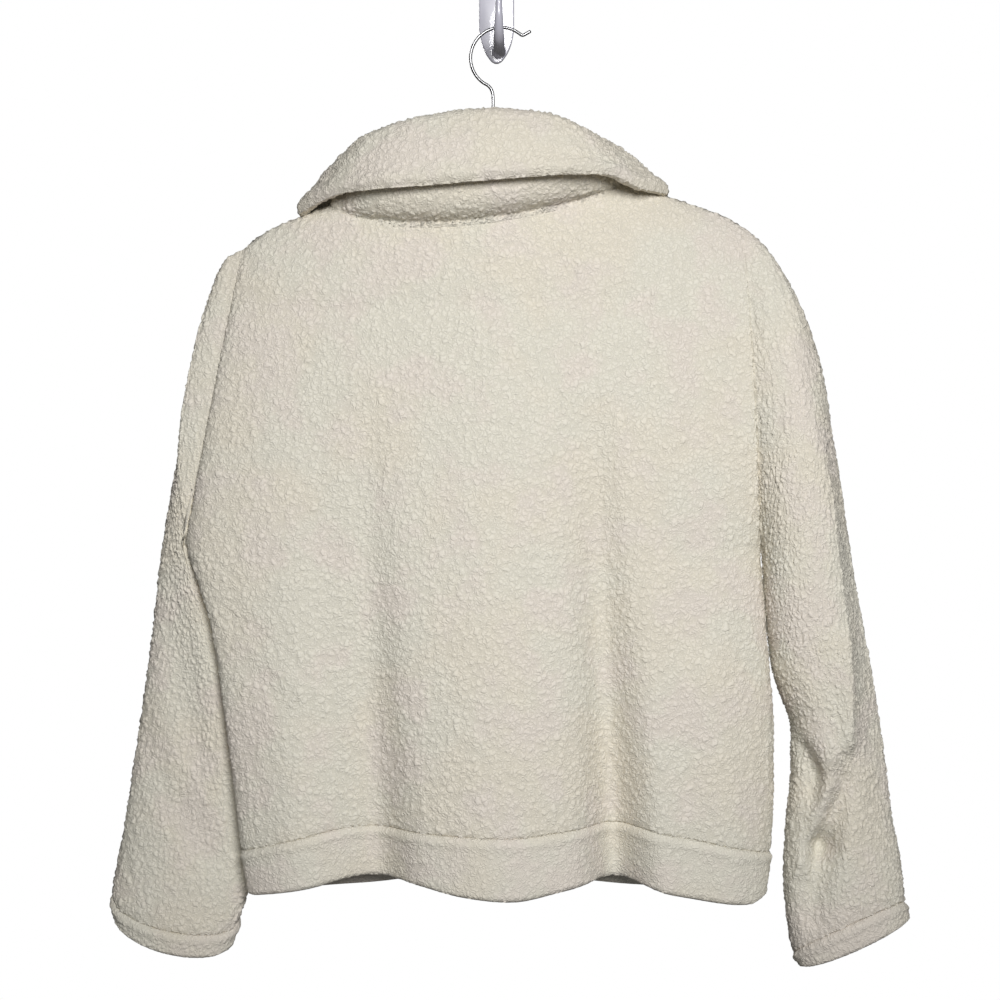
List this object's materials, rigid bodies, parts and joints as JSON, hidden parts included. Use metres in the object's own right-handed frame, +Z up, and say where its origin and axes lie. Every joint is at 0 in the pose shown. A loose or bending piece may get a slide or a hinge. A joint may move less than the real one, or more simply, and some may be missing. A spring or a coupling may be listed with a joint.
{
  "type": "half-zip fleece pullover on a hanger and wall hook",
  "caption": "Cropped boxy half-zip pullover of sherpa fleece with a fold-over collar, hung on a hanger from a wall hook.",
  "frame": {"origin": "middle of the wall hook's rear face, where it lies on the wall", "axes": "+Z up, +Y into the wall, +X to the right of someone who faces the pullover's back from the room"},
  "size_m": [0.7028, 0.1241, 0.8787],
  "materials": {
    "fleece": "curly cream pile",
    "zip_tape": "woven tape",
    "zip_metal": "satin metal",
    "hanger": "smooth",
    "chrome": "polished wire",
    "white_plastic": "glossy"
  },
  "bodies": {
    "pullover": {"back_panel": "fleece", "front_panel": "fleece", "hem_band_back": "fleece", "hem_band_front": "fleece", "collar": "fleece", "sleeve_left": "fleece", "sleeve_right": "fleece", "cuff_hem_left": "fleece", "cuff_hem_right": "fleece", "zip_tape_left": "zip_tape", "zip_tape_right": "zip_tape", "zip_stop": "zip_metal", "slider": "zip_metal", "hanger_bar": "hanger", "hanger_hook": "chrome", "wall_hook": "white_plastic"},
    "tab": {"pull_tab": "zip_metal"}
  },
  "joints": [
    {"name": "pull_tab_swing", "type": "hinge", "parent": "pullover", "child": "tab", "pos_m": [-0.00979, -0.0218, -0.3162], "axis": [1, 0, 0], "range_deg": [0, 40]}
  ]
}
